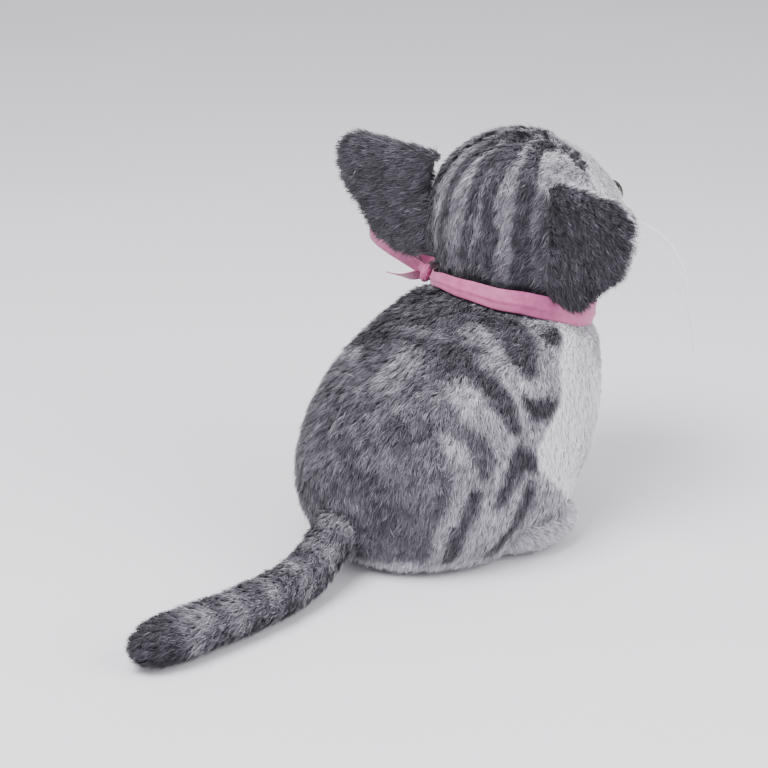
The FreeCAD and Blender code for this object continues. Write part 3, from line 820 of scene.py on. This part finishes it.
def strip(name, middles, sides, steps, width, fold, slant=0.0):
    """A ribbon along a line of points: sides say which way its width runs at each one."""
    columns = np.linspace(-1.0, 1.0, steps)
    points, faces = [], []
    tangents = np.gradient(middles, axis=0)
    out = unit(np.cross(tangents, sides))
    for row, (middle, side, away) in enumerate(zip(middles, sides, out)):
        for column in columns:
            share = row / (len(middles) - 1)
            cut_back = tangents[row] / np.linalg.norm(tangents[row]) * column * slant * share**4
            points.append(middle + side * column * width[row] / 2.0 + away * fold(share, column) + cut_back)
    for row in range(len(middles) - 1):
        for column in range(steps - 1):
            at = row * steps + column
            faces.append((at, at + 1, at + steps + 1, at + steps))
    mesh = bpy.data.meshes.new(name)
    mesh.from_pydata((np.array(points) * MM).tolist(), [], faces)
    mesh.shade_smooth()
    mesh.materials.append(RIBBON)
    thing = bpy.data.objects.new(name, mesh)
    bpy.context.scene.collection.objects.link(thing)
    thick = thing.modifiers.new("thickness", "SOLIDIFY")
    thick.thickness = 0.35 * MM
    thick.offset = 0.0
    applied(thing, "thickness")
    return thing


def laid_ribbon(thing, node):
    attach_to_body(thing, "head")
    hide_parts(node)


KNOT_OUT = unit(on_neck(radians(36.0), 1.0) - NECK_AT)
KNOT_ALONG = np.cross(NECK_AXIS, KNOT_OUT)
knot_mesh = bpy.data.meshes.new("ribbon_knot")
shaper = bmesh.new()
bmesh.ops.create_uvsphere(shaper, u_segments=48, v_segments=32, radius=1.0)
shaper.to_mesh(knot_mesh)
shaper.free()
ball = coordinates_of(knot_mesh)
pucker = 1.0 + 0.09 * np.cos(np.arctan2(ball[:, 2], ball[:, 0]) * 9.0) * np.abs(ball[:, 1])
ball = unit(ball) * pucker[:, None]
ball = np.sign(ball) * np.abs(ball) ** 0.8
knot_reach = np.array((2.0 * KNOT_OUT, 2.9 * KNOT_ALONG, 3.5 * NECK_AXIS))
write_coordinates(knot_mesh, (KNOT + ball @ knot_reach) * MM)
knot_mesh.shade_smooth()
knot_mesh.materials.append(RIBBON)
knot = bpy.data.objects.new("ribbon_knot", knot_mesh)
bpy.context.scene.collection.objects.link(knot)
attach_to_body(knot, "head")
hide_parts("bow_knot")

turns = np.linspace(0.0, 2.0 * pi, 161)
ripple = 0.25 * np.sin(turns * 5.0 + 0.7) + 0.15 * np.sin(turns * 11.0)
ripple -= 0.7 * np.exp(-(((turns - radians(205.0)) / radians(50.0)) ** 2))
band_line = np.array([on_neck(turn, BAND_RADIUS, rise) for turn, rise in zip(turns, ripple)])
from_knot = (turns - radians(36.0) + pi) % (2.0 * pi) - pi
band_width = RIBBON_WIDTH * (0.98 - 0.44 * np.exp(-((from_knot / 1.25) ** 2)))
band = strip(
    "ribbon_band", band_line, np.tile(NECK_AXIS, (len(turns), 1)), 15, band_width,
    lambda share, column: 0.5 * np.exp(-(((column + 0.1) / 0.16) ** 2)) - 0.3 * abs(column) ** 3,
)
laid_ribbon(band, "ribbon_neck_band")


def bow_axes(heading, rise):
    """The way a loop or end leaves the knot, its sideways direction and its width's direction."""
    heading, rise = radians(heading), radians(rise)
    ahead = np.array((cos(heading) * cos(rise), sin(heading) * cos(rise), sin(rise)))
    aside = np.array((-sin(heading), cos(heading), 0.0))
    return ahead, aside, np.cross(ahead, aside)


LOOP_LENGTH, LOOP_BULGE, END_LENGTH, BOW_WIDTH = 42.0, 6.4, 12.5, 7.7
for name, heading, rise in (("rear", -17.0, 14.0), ("front", -46.0, -8.0)):
    ahead, aside, upright = bow_axes(heading, rise)
    t = np.linspace(0.02 * pi, 1.98 * pi, 61)
    along = LOOP_LENGTH * (1.0 - np.cos(t)) / 2.0 + 2.2
    bulge = LOOP_BULGE * np.sin(t) * (1.0 - np.cos(t)) / 1.3
    droop = -0.9 * np.sin(t / 2.0) ** 2
    loop_line = KNOT + along[:, None] * ahead + bulge[:, None] * aside + droop[:, None] * upright
    lean = unit(upright + 0.16 * np.sin(t)[:, None] * aside)
    width = BOW_WIDTH * (0.62 + 0.42 * np.sin(t / 2.0) ** 0.8)
    loop = strip(
        f"ribbon_loop_{name}", loop_line, lean, 9, width,
        lambda share, column: 0.5 * (1.0 - column**2) * (1.0 - sin(share * pi)) * 1.6,
    )
    laid_ribbon(loop, f"bow_loop_{name}")
for name, heading, rise, roll in (("rear", 10.0, -16.0, 52.0), ("front", -66.0, -12.0, 0.0)):
    ahead, aside, upright = bow_axes(heading, rise)
    roll = radians(roll)
    aside, upright = aside * cos(roll) - upright * sin(roll), upright * cos(roll) + aside * sin(roll)
    t = np.linspace(0.0, 1.0, 21)
    curl = 1.1 * np.sin(t * pi) - 0.8 * t
    end_line = KNOT + (2.6 + END_LENGTH * t)[:, None] * ahead + curl[:, None] * aside
    lean = unit(upright + 0.25 * t[:, None] * aside)
    end = strip(
        f"bow_end_{name}", end_line, lean, 9, BOW_WIDTH * (0.76 + 0.28 * t),
        lambda share, column: 0.5 * (1.0 - column**2) * (1.0 - share), slant=2.0,
    )
    laid_ribbon(end, f"ribbon_end_{name}")

# --- CAD nodes that stay -------------------------------------------------------------------------

KEPT = {
    "pellet_bag": PELLET_CLOTH, "tail_root_stuffing": STUFFING, "nose": NOSE, "mouth_stitching": MOUTH,
    "eye_left": EYE, "eye_right": EYE, "eye_washer_left": WASHER, "eye_washer_right": WASHER,
    **{f"whisker_{word}_{number}": WHISKER for word, _ in PAIRS for number in (1, 2, 3)},
}
for node, material in KEPT.items():
    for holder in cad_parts[node].material_slots:
        holder.material = material

# --- Floor and light ------------------------------------------------------------------------------

floor_mesh = bpy.data.meshes.new("floor")
floor_mesh.from_pydata([(-6, -6, 0), (6, -6, 0), (6, 6, 0), (-6, 6, 0)], [], [(0, 1, 2, 3)])
floor = bpy.data.objects.new("floor", floor_mesh)
bpy.context.scene.collection.objects.link(floor)
floor_material, floor_tree, floor_shader = principled("floor_paper", (0.80, 0.78, 0.82), 0.9, 0.1)
floor_grain = add_noise(floor_tree, 3.0)
floor_colour = add_ramp(floor_tree, floor_grain, ((0.3, (0.78, 0.76, 0.80)), (0.7, (0.82, 0.80, 0.84))))
floor_tree.links.new(floor_colour, floor_shader.inputs["Base Color"])
floor_mesh.materials.append(floor_material)

world = bpy.data.worlds.new("studio")
world.use_nodes = True
world.node_tree.nodes["Background"].inputs["Color"].default_value = (0.93, 0.92, 0.96, 1.0)
world.node_tree.nodes["Background"].inputs["Strength"].default_value = 1.0
bpy.context.scene.world = world


def softbox(name, compass, height, reach, power, across):
    data = bpy.data.lights.new(name, "AREA")
    data.energy = power
    data.size = across
    lamp = bpy.data.objects.new(name, data)
    lamp.location = Vector((sin(compass) * reach, -cos(compass) * reach, height))
    lamp.rotation_euler = (lamp.location - TARGET).to_track_quat("Z", "Y").to_euler()
    bpy.context.scene.collection.objects.link(lamp)


softbox("key", radians(185.0), 0.90, 0.50, 16.0, 0.55)
softbox("fill", radians(290.0), 0.50, 0.80, 7.0, 0.7)
